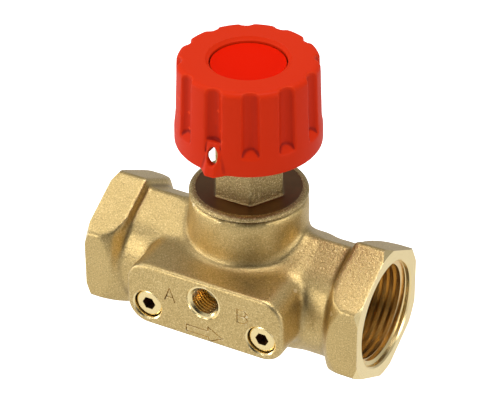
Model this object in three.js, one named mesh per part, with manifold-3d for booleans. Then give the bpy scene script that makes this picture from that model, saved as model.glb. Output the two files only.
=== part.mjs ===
// Three port shut-off valve, 3/4 inch: a forged brass body with two threaded ports A and B in line,
// a third small tapping in a side pad between two plug screws, and a rising spindle under a fluted knob.
//
// Millimetres. Origin where the flow axis crosses the spindle axis. +X is the flow from port A to
// port B, +Z is up the spindle, -Y is the side with the pad. The valve stands fully open.

import * as THREE from 'three';
import { mergeVertices } from 'three/addons/utils/BufferGeometryUtils.js';
import Module from 'manifold-3d';

const wasm = await Module();
wasm.setup();

// ---- driving dimensions ----

const BODY_LENGTH = 75;
const HEX_ACROSS_FLATS = 32;
const HEX_INNER_END = 27.3;        // where the port hexagons meet the barrel, along X
const BARREL_ACROSS_FLATS = 28.4;
const BARREL_RIDGE_RADIUS = 15.95; // the barrel's corners are rounded off to this
const PORT_BORE_RADIUS = 12.06;    // Rp 3/4 minor radius
const PORT_MOUTH_RADIUS = 13.7;
const PORT_THREAD_END = 26;

const NECK_RADIUS = 14.56;
const NECK_TOP = 23.7;
const NECK_BORE_RADIUS = 12;       // takes the bonnet's thread
const CHAMBER_RADIUS = 11;
const CHAMBER_FLOOR = 2;
const SEAT_FACE = 3;
const SEAT_BORE_RADIUS = 7.5;
const SEAT_LAND_RADIUS = 9.2;

const PAD_FACE = -23.16;
const PAD_HALF_WIDTH = 21.3;
const PAD_BOTTOM = -6.2;
const PAD_TOP = 11;
const PAD_CORNER = 5.6;
const PLUG_OFFSET = 15.5;          // plug screws stand this far either side of the middle
const PLUG_HEIGHT = -0.5;
const PLUG_SEAT_DEPTH = 14.6;      // this and the next two are distances out from the flow axis
const PLUG_STEM_TOP = 18.6;
const PLUG_FACE = 22.46;
const TAPPING_HEIGHT = 5.26;

const BONNET_FLANGE_BOTTOM = 24;
const BONNET_FLANGE_TOP = 25.5;
const BONNET_HEX_FLATS = 16;
const BONNET_TOP = 43;
const BONNET_BOTTOM = 14;

const KNOB_TOP = 60.9;
const KNOB_BOTTOM = 38.9;
const KNOB_SKIRT_RADIUS = 17.7;
const KNOB_GRIP_RADIUS = 16.95;
const KNOB_SKIRT_TOP = 43.6;
const KNOB_INNER_RADIUS = 14.3;
const FLUTE_COUNT = 12;
const FLUTE_RADIUS = 2.4;
const FLUTE_CENTRE_RADIUS = 18;

const GAP = 0.3;                   // running clearance between neighbouring pieces
const FIT = 0.2;                   // closer clearance between stacked flat faces
const FINE = 40;                   // facets round a large turned face
const MEDIUM = 28;
const COARSE = 20;

// ---- materials ----

const finish = (color, roughness, metalness) => (
  () => new THREE.MeshStandardMaterial({ color, roughness, metalness })
);
const forgedBrass = finish(0xb89a5c, 0.5, 1);
const turnedBrass = finish(0xdcc081, 0.25, 1);
const redPlastic = finish(0xd9371c, 0.45, 0);
const brightRedPlastic = finish(0xe02000, 0.25, 0);
const blackRubber = finish(0x1a1a1a, 0.75, 0);
const whiteSlipPlastic = finish(0xe6e4dc, 0.5, 0);
const platedSteel = finish(0xa9abae, 0.35, 1);

// ---- shapes, all standing on Z unless turned afterwards ----

// A turned piece: the profile is a list of [radius, height] that starts and ends on the axis,
// or goes round and closes on itself.
function turned(profile, facets = MEDIUM) {
  const points = profile.map(([radius, height]) => new THREE.Vector2(radius, height));
  return new THREE.LatheGeometry(points, facets).rotateX(Math.PI / 2);
}

function rod(radius, bottom, top, facets = MEDIUM) {
  return turned([[0, bottom], [radius, bottom], [radius, top], [0, top]], facets);
}

function ring(innerRadius, outerRadius, bottom, top, facets = MEDIUM) {
  return turned([
    [innerRadius, bottom], [outerRadius, bottom], [outerRadius, top], [innerRadius, top],
    [innerRadius, bottom],
  ], facets);
}

// A prism with its first corner towards -Y, or a flat there when turned by half a facet.
function prism(sides, acrossFlats, bottom, top, flatForward = false) {
  const radius = acrossFlats / 2 / Math.cos(Math.PI / sides);
  const shape = new THREE.CylinderGeometry(radius, radius, top - bottom, sides);
  shape.rotateX(Math.PI / 2);
  if (flatForward) shape.rotateZ(Math.PI / sides);
  return shape.translate(0, 0, (top + bottom) / 2);
}

function oRing(meanRadius, sectionRadius, height) {
  return new THREE.TorusGeometry(meanRadius, sectionRadius, 8, COARSE).translate(0, 0, height);
}

function block(width, depth, height, x, y, z) {
  return new THREE.BoxGeometry(width, depth, height).translate(x, y, z);
}

// Lays a shape that stands on +Z along +X, so that what pointed to -Y points down.
function alongX(shape) {
  return shape.rotateZ(Math.PI / 2).rotateY(Math.PI / 2);
}

// Lays a shape that stands on +Z so that it points out of the pad, along -Y.
function outOfPad(shape, x, z) {
  return shape.rotateX(Math.PI / 2).translate(x, 0, z);
}

// ---- solids: joining and cutting ----

function solid(geometry) {
  const bare = geometry.clone();
  bare.deleteAttribute('normal');
  bare.deleteAttribute('uv');
  const merged = mergeVertices(bare);
  const corners = merged.index.array;
  const position = merged.getAttribute('position');
  const vertex = (index) => new THREE.Vector3().fromBufferAttribute(position, index);
  const triangles = [];
  let volume = 0;
  for (let i = 0; i < corners.length; i += 3) {
    const [a, b, c] = corners.slice(i, i + 3);
    if (a === b || b === c || c === a) continue;   // slivers on a turning axis
    triangles.push([a, b, c]);
    volume += vertex(a).dot(vertex(b).cross(vertex(c)));
  }
  const outward = volume < 0 ? triangles.map(([a, b, c]) => [a, c, b]) : triangles;
  return new wasm.Manifold(new wasm.Mesh({
    numProp: 3,
    vertProperties: new Float32Array(position.array),
    triVerts: new Uint32Array(outward.flat()),
  }));
}

function joined(...shapes) {
  return shapes.map(asSolid).reduce((whole, shape) => whole.add(shape));
}

function cut(shape, ...cutters) {
  return cutters.map(asSolid).reduce((rest, cutter) => rest.subtract(cutter), asSolid(shape));
}

function shared(first, second) {
  return asSolid(first).intersect(asSolid(second));
}

function asSolid(shape) {
  return shape instanceof THREE.BufferGeometry ? solid(shape) : shape;
}

function piece(name, shape, material) {
  const cutMesh = asSolid(shape).getMesh();
  const geometry = new THREE.BufferGeometry();
  geometry.setAttribute('position', new THREE.BufferAttribute(cutMesh.vertProperties, 3));
  geometry.setIndex(new THREE.BufferAttribute(cutMesh.triVerts, 1));
  geometry.computeVertexNormals();
  const mesh = new THREE.Mesh(geometry, material);
  mesh.name = name;
  return mesh;
}

// ---- valve body ----

// The port hexagon at the +X end, corners up and down, its outer corners chamfered on a lathe and
// its inner end rounded down to the barrel.
function portHexagon() {
  const end = BODY_LENGTH / 2;
  const flats = HEX_ACROSS_FLATS / 2;
  const corner = flats / Math.cos(Math.PI / 6);
  const hexagon = alongX(prism(6, HEX_ACROSS_FLATS, HEX_INNER_END, end));
  const envelope = alongX(turned([
    [0, HEX_INNER_END], [flats - 1.2, HEX_INNER_END], [flats + 0.9, HEX_INNER_END + 0.6],
    [corner + 0.1, HEX_INNER_END + 2.2], [corner + 0.1, end - 1.3], [corner - 1.5, end], [0, end],
  ], FINE));
  return shared(hexagon, envelope);
}

// The barrel between the hexagons: a smaller hexagon with its ridges rounded off.
function barrel() {
  const reach = HEX_INNER_END + 1;
  return shared(
    alongX(prism(6, BARREL_ACROSS_FLATS, -reach, reach)),
    alongX(rod(BARREL_RIDGE_RADIUS, -reach, reach, FINE)),
  );
}

// The upright neck, flared where it grows out of the barrel.
function neck() {
  return turned([
    [0, -11], [8, -11], [NECK_RADIUS, -7], [NECK_RADIUS, NECK_TOP - 0.4], [NECK_RADIUS - 0.4, NECK_TOP],
    [0, NECK_TOP],
  ], FINE);
}

function sidePad() {
  const outline = new THREE.Shape();
  const left = -PAD_HALF_WIDTH;
  const right = PAD_HALF_WIDTH;
  outline.moveTo(left + PAD_CORNER, PAD_BOTTOM);
  outline.lineTo(right - PAD_CORNER, PAD_BOTTOM);
  outline.absarc(right - PAD_CORNER, PAD_BOTTOM + PAD_CORNER, PAD_CORNER, -Math.PI / 2, 0, false);
  outline.lineTo(right, PAD_TOP - PAD_CORNER);
  outline.absarc(right - PAD_CORNER, PAD_TOP - PAD_CORNER, PAD_CORNER, 0, Math.PI / 2, false);
  outline.lineTo(left + PAD_CORNER, PAD_TOP);
  outline.absarc(left + PAD_CORNER, PAD_TOP - PAD_CORNER, PAD_CORNER, Math.PI / 2, Math.PI, false);
  outline.lineTo(left, PAD_BOTTOM + PAD_CORNER);
  outline.absarc(left + PAD_CORNER, PAD_BOTTOM + PAD_CORNER, PAD_CORNER, Math.PI, Math.PI * 1.5, false);
  const depth = 12;
  const edge = 0.8;
  const shape = new THREE.ExtrudeGeometry(outline, {
    depth, curveSegments: 6, bevelEnabled: true, bevelThickness: edge, bevelSize: edge,
    bevelOffset: -edge, bevelSegments: 1,
  });
  return shape.rotateX(Math.PI / 2).translate(0, PAD_FACE + edge + depth, 0);
}

// A flow passage along X: each station gives the floor, roof and half width of an oval section.
function passage(stations) {
  const shape = new THREE.CylinderGeometry(1, 1, 1, COARSE, stations.length - 1);
  const position = shape.getAttribute('position');
  for (let i = 0; i < position.count; i += 1) {
    const station = stations[Math.round((0.5 - position.getY(i)) * (stations.length - 1))];
    const middle = (station.roof + station.floor) / 2;
    const halfHeight = (station.roof - station.floor) / 2;
    const across = position.getX(i) * station.halfWidth;
    const up = middle + position.getZ(i) * halfHeight;
    position.setXYZ(i, station.x, across, up);
  }
  return shape;
}

// In from port A, down under the seat.
const inletPassage = () => passage([
  { x: -27, floor: -10.8, roof: 10.8, halfWidth: 10.8 },
  { x: -22, floor: -11, roof: 9, halfWidth: 10.6 },
  { x: -17, floor: -11.6, roof: 3.6, halfWidth: 10.2 },
  { x: -12.5, floor: -12, roof: -1, halfWidth: 9.8 },
  { x: 0, floor: -12.4, roof: -1.2, halfWidth: 9.4 },
  { x: 6, floor: -11.6, roof: -1.8, halfWidth: 6 },
]);

// Out of the chamber above the seat, to port B.
const outletPassage = () => passage([
  { x: 5, floor: 3.2, roof: 11, halfWidth: 8 },
  { x: 12.5, floor: 1.2, roof: 11.6, halfWidth: 9.8 },
  { x: 17, floor: -3.6, roof: 11.4, halfWidth: 10.2 },
  { x: 22, floor: -9, roof: 11, halfWidth: 10.6 },
  { x: 27, floor: -10.8, roof: 10.8, halfWidth: 10.8 },
]);

function portBore() {
  const end = BODY_LENGTH / 2;
  return alongX(turned([
    [0, PORT_THREAD_END - 1.4], [PORT_BORE_RADIUS - 1.3, PORT_THREAD_END - 1.4],
    [PORT_BORE_RADIUS, PORT_THREAD_END], [PORT_BORE_RADIUS, end - 1.6],
    [PORT_MOUTH_RADIUS, end], [PORT_MOUTH_RADIUS, end + 1], [0, end + 1],
  ], FINE));
}

// The bonnet's thread, the chamber under it, and the raised seat in its floor.
function chamberBore() {
  return turned([
    [0, SEAT_FACE], [SEAT_LAND_RADIUS, SEAT_FACE], [SEAT_LAND_RADIUS, CHAMBER_FLOOR],
    [CHAMBER_RADIUS, CHAMBER_FLOOR], [CHAMBER_RADIUS, BONNET_BOTTOM - 1.5],
    [NECK_BORE_RADIUS, BONNET_BOTTOM - 0.5], [NECK_BORE_RADIUS, NECK_TOP - 2],
    [NECK_BORE_RADIUS + 0.6, NECK_TOP - 1.6], [NECK_BORE_RADIUS + 0.6, NECK_TOP + 1], [0, NECK_TOP + 1],
  ], FINE);
}

const seatBore = () => rod(SEAT_BORE_RADIUS, -6, SEAT_FACE + 1, FINE);

// Stepped bore for one plug screw: head, stem, and the small hole into the flow passage.
function plugBore(x) {
  const face = -PAD_FACE;
  return outOfPad(turned([
    [0, 7], [1.2, 7], [1.2, PLUG_SEAT_DEPTH], [2.9, PLUG_SEAT_DEPTH + 1.2], [2.9, PLUG_STEM_TOP],
    [3.92, PLUG_STEM_TOP], [3.92, face + 1], [0, face + 1],
  ], COARSE), x, PLUG_HEIGHT);
}

function tappingBore() {
  const face = -PAD_FACE;
  return outOfPad(turned([
    [0, 14.2], [3.28, 16], [3.28, face - 1.1], [4.53, face], [4.53, face + 1], [0, face + 1],
  ], COARSE), 0, TAPPING_HEIGHT);
}

// Small slanted hole from a plug's bore to the bottom of the tapping.
function crossDrilling(x) {
  const depth = -17;
  const start = new THREE.Vector3(x, depth, PLUG_HEIGHT);
  const end = new THREE.Vector3(0, depth, TAPPING_HEIGHT);
  const line = new THREE.LineCurve3(start, end);
  const section = new THREE.Shape();
  section.absarc(0, 0, 0.9, 0, Math.PI * 2, false);
  return new THREE.ExtrudeGeometry(section, { extrudePath: line, steps: 1, curveSegments: 4 });
}

function valveBody() {
  const otherEnd = (shape) => shape.rotate([0, 0, 180]);
  const outside = joined(barrel(), portHexagon(), otherEnd(portHexagon()), neck(), sidePad());
  return cut(
    outside,
    solid(portBore()), otherEnd(solid(portBore())),
    chamberBore(), seatBore(), inletPassage(), outletPassage(),
    plugBore(-PLUG_OFFSET), plugBore(PLUG_OFFSET), tappingBore(),
    crossDrilling(-PLUG_OFFSET), crossDrilling(PLUG_OFFSET),
  );
}

// ---- bonnet ----

const SPINDLE_SEAL_RADIUS = 5;     // the smooth part of the spindle, where its seals run
const SPINDLE_THREAD_RADIUS = 4.3;
const BONNET_STEP = 33;            // smooth bore below, threaded bore above
const COLLAR_POCKET_TOP = 22;

function bonnet() {
  const thread = NECK_BORE_RADIUS - GAP;
  const shell = turned([
    [0, BONNET_BOTTOM], [thread - 0.8, BONNET_BOTTOM], [thread, BONNET_BOTTOM + 0.8], [thread, 20.8],
    [10.4, 21.2], [10.4, BONNET_FLANGE_BOTTOM], [NECK_RADIUS, BONNET_FLANGE_BOTTOM],
    [NECK_RADIUS - 0.1, BONNET_FLANGE_BOTTOM + 0.6], [NECK_RADIUS - 0.56, BONNET_FLANGE_TOP],
    [0, BONNET_FLANGE_TOP],
  ], FINE);
  const hexTop = shared(
    prism(6, BONNET_HEX_FLATS, BONNET_FLANGE_TOP - 1, BONNET_TOP, true),
    turned([
      [0, BONNET_FLANGE_TOP - 1], [10, BONNET_FLANGE_TOP - 1], [10, BONNET_TOP - 1.4],
      [BONNET_HEX_FLATS / 2 - 0.2, BONNET_TOP], [0, BONNET_TOP],
    ]),
  );
  const bore = turned([
    [0, BONNET_BOTTOM - 1], [8, BONNET_BOTTOM - 1], [8, COLLAR_POCKET_TOP],
    [SPINDLE_SEAL_RADIUS + GAP, COLLAR_POCKET_TOP], [SPINDLE_SEAL_RADIUS + GAP, BONNET_STEP],
    [SPINDLE_THREAD_RADIUS + GAP, BONNET_STEP], [SPINDLE_THREAD_RADIUS + GAP, BONNET_TOP + 1],
    [0, BONNET_TOP + 1],
  ]);
  return cut(joined(shell, hexTop), bore);
}

// ---- cone, its soft seat washer and what holds them ----

const CONE_TOP = 19;
const CONE_DISC_TOP = 12.4;
const WASHER_BOTTOM = 8.2;         // fully open; the seat is 5 mm of travel and a fit below
const WASHER_TOP = 10.2;
const TIP_RADIUS = 3;              // the spindle's tip, on which the cone swivels
const TIP_BOTTOM = 14.3;
const CLIP_BOTTOM = 15.9;
const CLIP_THICKNESS = 0.8;

function valveCone() {
  const body = turned([
    [0, WASHER_TOP + FIT], [9.2, WASHER_TOP + FIT], [9.2, WASHER_BOTTOM + 1], [9.9, WASHER_BOTTOM + 1],
    [9.9, CONE_DISC_TOP - 0.8], [9.1, CONE_DISC_TOP], [6.2, CONE_DISC_TOP], [6.2, CONE_TOP - 0.5],
    [5.7, CONE_TOP], [0, CONE_TOP],
  ]);
  const socket = turned([
    [0, 9], [1.8, 9], [1.8, TIP_BOTTOM - GAP], [TIP_RADIUS + GAP, TIP_BOTTOM - GAP],
    [TIP_RADIUS + GAP, CLIP_BOTTOM - FIT], [4.6, CLIP_BOTTOM - FIT],
    [4.6, CLIP_BOTTOM + CLIP_THICKNESS + FIT], [TIP_RADIUS + GAP, CLIP_BOTTOM + CLIP_THICKNESS + FIT],
    [TIP_RADIUS + GAP, CONE_TOP + 1], [0, CONE_TOP + 1],
  ]);
  return cut(body, socket);
}

// A sprung wire ring with a gap, halfway in the spindle tip's groove and halfway in the cone's.
function coneClip() {
  const wire = ring(2.65, 4.3, CLIP_BOTTOM, CLIP_BOTTOM + CLIP_THICKNESS, COARSE);
  return cut(wire, block(2.4, 6, 3, 0, 4, CLIP_BOTTOM));
}

const seatWasher = () => ring(3.4, 8.9, WASHER_BOTTOM, WASHER_TOP);

// Shaped plug below the washer, which throttles the flow just before the seat closes.
function throttleCone() {
  const top = WASHER_BOTTOM - FIT;
  return turned([
    [1.8, 4.6], [4.8, 4.6], [6.6, 6], [7.05, top], [3.1, top], [3.1, WASHER_TOP - 0.2],
    [1.8, WASHER_TOP - 0.2], [1.8, 4.6],
  ]);
}

function coneScrew() {
  const head = turned([[0, 2.2], [2.6, 2.2], [3, 2.6], [3, 4.4], [1.5, 4.4], [1.5, 13.6], [0, 13.6]], COARSE);
  return cut(head, prism(6, 2.5, 1, 3.6));
}

// ---- spindle and its seals ----

const COLLAR_BOTTOM = CONE_TOP + GAP;
const COLLAR_TOP = 20.8;
const LOWER_SEAL = 28;
const UPPER_SEAL = 31;
const SEAL_GROOVE = 1.9;           // groove width
const SPINDLE_SQUARE = 6;
const SPINDLE_SQUARE_BOTTOM = 44.6;
const SPINDLE_TOP = 52.6;

function spindle() {
  const groove = SEAL_GROOVE / 2;
  const clipTop = CLIP_BOTTOM + CLIP_THICKNESS + FIT;
  const turnedPart = turned([
    [0, TIP_BOTTOM], [TIP_RADIUS, TIP_BOTTOM], [TIP_RADIUS, CLIP_BOTTOM - FIT], [2.35, CLIP_BOTTOM - FIT],
    [2.35, clipTop], [TIP_RADIUS, clipTop], [TIP_RADIUS, COLLAR_BOTTOM], [7, COLLAR_BOTTOM],
    [7, COLLAR_TOP], [SPINDLE_SEAL_RADIUS, COLLAR_TOP],
    [SPINDLE_SEAL_RADIUS, LOWER_SEAL - groove], [3.55, LOWER_SEAL - groove],
    [3.55, LOWER_SEAL + groove], [SPINDLE_SEAL_RADIUS, LOWER_SEAL + groove],
    [SPINDLE_SEAL_RADIUS, UPPER_SEAL - groove], [3.55, UPPER_SEAL - groove],
    [3.55, UPPER_SEAL + groove], [SPINDLE_SEAL_RADIUS, UPPER_SEAL + groove],
    [SPINDLE_SEAL_RADIUS, BONNET_STEP - GAP], [SPINDLE_THREAD_RADIUS, BONNET_STEP - GAP],
    [SPINDLE_THREAD_RADIUS, SPINDLE_SQUARE_BOTTOM], [0, SPINDLE_SQUARE_BOTTOM],
  ]);
  const square = shared(
    prism(4, SPINDLE_SQUARE, SPINDLE_SQUARE_BOTTOM - 0.5, SPINDLE_TOP, true),
    rod(4, SPINDLE_SQUARE_BOTTOM - 0.5, SPINDLE_TOP),
  );
  return cut(joined(turnedPart, square), rod(2.2, 45.4, SPINDLE_TOP + 1, COARSE));
}

const backSeatWasher = () => ring(SPINDLE_SEAL_RADIUS + FIT, 6.9, COLLAR_TOP + FIT, COLLAR_POCKET_TOP - FIT);

// ---- knob, its brass insert, screw, washer and cap ----

const HUB_RADIUS = 8;
const HUB_BOTTOM = 48.5;
const HUB_WEB_BOTTOM = 53;
const HUB_WEB_TOP = 54.6;
const INSERT_RADIUS = 6;
const CAP_RADIUS = 9;
const CAP_TOP = 60.3;
const CAP_THICKNESS = 0.9;
const CAP_WELL_RADIUS = 6.5;
const EYELET_REACH = 19.4;         // how far the wire eyelet on the skirt stands out from the axis

function flute(index) {
  const bottom = KNOB_SKIRT_TOP + 0.3;
  const length = KNOB_TOP + 4 - bottom;
  const groove = new THREE.CapsuleGeometry(FLUTE_RADIUS, length, 2, 12).rotateX(Math.PI / 2);
  groove.translate(0, -FLUTE_CENTRE_RADIUS, bottom + FLUTE_RADIUS + length / 2);
  return groove.rotateZ(index * Math.PI * 2 / FLUTE_COUNT);
}

// Wedge on the skirt with a hole across for a sealing wire, which is also the knob's pointer.
function eyelet() {
  const outline = new THREE.Shape();
  outline.moveTo(-3.5, -16);
  outline.lineTo(-1.2, -EYELET_REACH);
  outline.lineTo(1.2, -EYELET_REACH);
  outline.lineTo(3.5, -16);
  outline.lineTo(-3.5, -16);
  const wedge = new THREE.ExtrudeGeometry(outline, { depth: 6, bevelEnabled: false });
  return wedge.translate(0, 0, KNOB_BOTTOM);
}

function eyeletHole() {
  const hole = new THREE.CapsuleGeometry(1.35, 1.5, 3, 12).rotateX(Math.PI / 2);
  return hole.scale(1, 5, 1).translate(0, -17.5, KNOB_BOTTOM + 3);
}

function knob() {
  const shell = turned([
    [0, HUB_WEB_TOP - 3], [0, KNOB_TOP], [KNOB_GRIP_RADIUS - 1.4, KNOB_TOP],
    [KNOB_GRIP_RADIUS - 0.4, KNOB_TOP - 0.4], [KNOB_GRIP_RADIUS, KNOB_TOP - 1.4],
    [KNOB_GRIP_RADIUS + 0.25, KNOB_SKIRT_TOP + 0.6],
    [KNOB_SKIRT_RADIUS, KNOB_SKIRT_TOP], [KNOB_SKIRT_RADIUS, KNOB_BOTTOM + 0.3],
    [KNOB_SKIRT_RADIUS - 0.3, KNOB_BOTTOM], [KNOB_INNER_RADIUS + 1.4, KNOB_BOTTOM],
    [KNOB_INNER_RADIUS, KNOB_BOTTOM + 4], [KNOB_INNER_RADIUS, 56], [KNOB_INNER_RADIUS - 1, 57.2],
    [HUB_RADIUS, 57.2], [HUB_RADIUS, HUB_BOTTOM], [0, HUB_BOTTOM], [0, HUB_WEB_TOP - 3],
  ], FINE);
  const grooves = [...Array(FLUTE_COUNT).keys()].map(flute);
  const insertBore = turned([
    [0, HUB_BOTTOM - 1], [INSERT_RADIUS + GAP, HUB_BOTTOM - 1], [INSERT_RADIUS + GAP, HUB_WEB_BOTTOM],
    [2.4, HUB_WEB_BOTTOM], [2.4, HUB_WEB_TOP], [CAP_WELL_RADIUS, HUB_WEB_TOP],
    [CAP_WELL_RADIUS, CAP_TOP - CAP_THICKNESS - FIT], [CAP_RADIUS + GAP, CAP_TOP - CAP_THICKNESS - FIT],
    [CAP_RADIUS + GAP, KNOB_TOP - 0.5], [CAP_RADIUS + 1.2, KNOB_TOP + 0.1], [CAP_RADIUS + 1.2, KNOB_TOP + 1],
    [0, KNOB_TOP + 1],
  ]);
  return cut(joined(cut(shell, ...grooves), eyelet()), insertBore, eyeletHole());
}

// Serrated brass bush moulded into the hub, with the square hole that drives the spindle.
function knobInsert() {
  return cut(
    rod(INSERT_RADIUS, HUB_BOTTOM + FIT, HUB_WEB_BOTTOM - GAP, COARSE),
    prism(4, SPINDLE_SQUARE + 2 * GAP, HUB_BOTTOM - 1, HUB_WEB_BOTTOM + 1, true),
  );
}

const SCREW_WASHER_BOTTOM = HUB_WEB_TOP + FIT;
const SCREW_WASHER_TOP = SCREW_WASHER_BOTTOM + 0.6;

const knobScrewWasher = () => ring(2.3, 4.5, SCREW_WASHER_BOTTOM, SCREW_WASHER_TOP, COARSE);

function knobScrew() {
  const head = SCREW_WASHER_TOP + FIT;
  const screw = turned([
    [0, 45.8], [1.6, 45.8], [1.9, 46.2], [1.9, head], [3.5, head], [3.5, head + 1.6], [2.9, head + 2.2],
    [0, head + 2.2],
  ], COARSE);
  const crossSlot = joined(
    block(4.2, 0.8, 3, 0, 0, head + 2.2),
    block(0.8, 4.2, 3, 0, 0, head + 2.2),
  );
  return cut(screw, crossSlot);
}

function knobCap() {
  return turned([
    [0, CAP_TOP - CAP_THICKNESS], [5.3, CAP_TOP - CAP_THICKNESS], [5.3, HUB_WEB_TOP + 1.6],
    [6.2, HUB_WEB_TOP + 1.6], [6.2, CAP_TOP - CAP_THICKNESS], [CAP_RADIUS, CAP_TOP - CAP_THICKNESS],
    [CAP_RADIUS, CAP_TOP - 0.2], [CAP_RADIUS - 0.2, CAP_TOP], [0, CAP_TOP],
  ]);
}

// ---- plug screws in the side pad ----

const PLUG_HEAD_RADIUS = 3.5;
const PLUG_RING_CENTRE = 20.3;

function plugScrew(x) {
  const groove = 0.95;
  const body = turned([
    [0, PLUG_SEAT_DEPTH + 1.3], [0.8, PLUG_SEAT_DEPTH + 1.3], [2.3, PLUG_SEAT_DEPTH + 2.8],
    [2.5, PLUG_STEM_TOP + FIT], [PLUG_HEAD_RADIUS, PLUG_STEM_TOP + FIT],
    [PLUG_HEAD_RADIUS, PLUG_RING_CENTRE - groove], [2.35, PLUG_RING_CENTRE - groove],
    [2.35, PLUG_RING_CENTRE + groove], [PLUG_HEAD_RADIUS, PLUG_RING_CENTRE + groove],
    [PLUG_HEAD_RADIUS, PLUG_FACE - 0.5], [PLUG_HEAD_RADIUS - 0.5, PLUG_FACE], [0, PLUG_FACE],
  ], COARSE);
  const socket = prism(6, 3, PLUG_FACE - 1.9, PLUG_FACE + 1);
  return cut(outOfPad(body, x, PLUG_HEIGHT), outOfPad(socket, x, PLUG_HEIGHT));
}

const plugRing = (x) => outOfPad(oRing(3.14, 0.54, PLUG_RING_CENTRE), x, PLUG_HEIGHT);

// ---- the assembly ----

const valve = new THREE.Group();
valve.add(
  piece('valve_body', valveBody(), forgedBrass()),
  piece('bonnet', bonnet(), forgedBrass()),
  piece('bonnet_o_ring', oRing(11.5, 0.8, 22.6), blackRubber()),

  piece('valve_cone', valveCone(), turnedBrass()),
  piece('cone_clip', coneClip(), platedSteel()),
  piece('seat_washer', seatWasher(), blackRubber()),
  piece('throttle_cone', throttleCone(), turnedBrass()),
  piece('cone_screw', coneScrew(), platedSteel()),

  piece('spindle', spindle(), turnedBrass()),
  piece('spindle_o_ring_lower', oRing(4.43, 0.6, LOWER_SEAL), blackRubber()),
  piece('spindle_o_ring_upper', oRing(4.43, 0.6, UPPER_SEAL), blackRubber()),
  piece('back_seat_washer', backSeatWasher(), whiteSlipPlastic()),
  piece('knob', knob(), redPlastic()),
  piece('knob_insert', knobInsert(), turnedBrass()),
  piece('knob_screw_washer', knobScrewWasher(), platedSteel()),
  piece('knob_screw', knobScrew(), platedSteel()),
  piece('knob_cap', knobCap(), brightRedPlastic()),

  piece('plug_a_screw', plugScrew(-PLUG_OFFSET), turnedBrass()),
  piece('plug_a_o_ring', plugRing(-PLUG_OFFSET), blackRubber()),
  piece('plug_b_screw', plugScrew(PLUG_OFFSET), turnedBrass()),
  piece('plug_b_o_ring', plugRing(PLUG_OFFSET), blackRubber()),
);

export default valve;
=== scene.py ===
# Looks for the three port shut-off valve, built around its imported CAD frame.
import math

import bmesh
import bpy
from mathutils import Matrix, Vector


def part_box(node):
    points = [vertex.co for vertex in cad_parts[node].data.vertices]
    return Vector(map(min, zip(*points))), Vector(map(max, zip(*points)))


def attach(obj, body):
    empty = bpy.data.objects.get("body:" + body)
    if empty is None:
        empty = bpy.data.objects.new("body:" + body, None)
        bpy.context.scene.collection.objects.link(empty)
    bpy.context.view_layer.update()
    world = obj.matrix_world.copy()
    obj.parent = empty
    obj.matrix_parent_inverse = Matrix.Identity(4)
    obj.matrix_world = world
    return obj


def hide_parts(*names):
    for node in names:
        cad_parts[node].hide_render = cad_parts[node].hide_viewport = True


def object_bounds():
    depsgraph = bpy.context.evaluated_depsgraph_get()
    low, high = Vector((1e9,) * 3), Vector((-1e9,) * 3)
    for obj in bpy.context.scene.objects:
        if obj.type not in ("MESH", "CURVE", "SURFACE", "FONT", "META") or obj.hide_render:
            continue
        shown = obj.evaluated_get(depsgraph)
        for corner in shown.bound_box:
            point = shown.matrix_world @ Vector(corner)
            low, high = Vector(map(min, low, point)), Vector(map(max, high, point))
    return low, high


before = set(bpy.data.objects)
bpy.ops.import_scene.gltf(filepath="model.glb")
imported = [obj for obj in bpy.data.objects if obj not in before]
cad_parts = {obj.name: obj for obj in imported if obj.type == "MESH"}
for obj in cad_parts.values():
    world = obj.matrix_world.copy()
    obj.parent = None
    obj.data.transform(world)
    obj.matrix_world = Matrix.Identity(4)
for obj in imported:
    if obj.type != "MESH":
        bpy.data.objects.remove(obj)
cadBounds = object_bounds()
scene = bpy.context.scene
mm = 0.001


# camera: long lens, a little above and to the right of the pad side

camera = {
    "place": (240.96, -440.6, 357.09),  # mm
    "azimuth": 28.65,
    "elevation": 33.78,
    "roll": -0.32,
    "lens": 180.3,
}


def addCamera():
    lens = bpy.data.cameras.new("camera")
    lens.lens = camera["lens"]
    lens.sensor_width = 36
    lens.clip_end = 10
    eye = bpy.data.objects.new("camera", lens)
    scene.collection.objects.link(eye)
    azimuth = math.radians(camera["azimuth"])
    tilt = math.radians(90 - camera["elevation"])
    turn = Matrix.Rotation(azimuth, 4, "Z") @ Matrix.Rotation(tilt, 4, "X")
    turn = turn @ Matrix.Rotation(math.radians(camera["roll"]), 4, "Z")
    eye.matrix_world = Matrix.Translation(Vector(camera["place"]) * mm) @ turn
    scene.camera = eye


# stage: pale floor well below the pipe line, soft lights

stage = {
    "floorDrop": 0.10,  # m under the valve
    "floorSize": 6.0,
    "floorColor": (0.86, 0.86, 0.85, 1),
    "glowColor": (1.0, 1.0, 1.0, 1),
    "worldColor": (1.0, 1.0, 1.0, 1),
    "worldStrength": 0.38,
    "cardColor": (0.012, 0.011, 0.010),
    "cardPlace": (0.335, -0.613, 0.467),  # m, square on to the valve from behind the camera
    "cardSize": 0.84,
}

lights = [
    # name, place (m), size (m), power (W), color
    ("lightTopLeft", (-0.75, -0.15, 1.05), 0.50, 2.2, (1.0, 0.99, 0.97)),
    ("lightFrontLeft", (-0.45, -0.80, 0.30), 0.34, 2.1, (1.0, 0.99, 0.97)),
    ("lightLeft", (-0.85, -0.28, 0.10), 0.36, 1.7, (1.0, 0.99, 0.97)),
    ("lightRight", (0.85, -0.05, 0.25), 0.30, 1.5, (1.0, 0.99, 0.97)),
    ("lightTop", (0.10, 0.05, 0.90), 0.50, 3.7, (1.0, 1.0, 1.0)),
]


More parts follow.
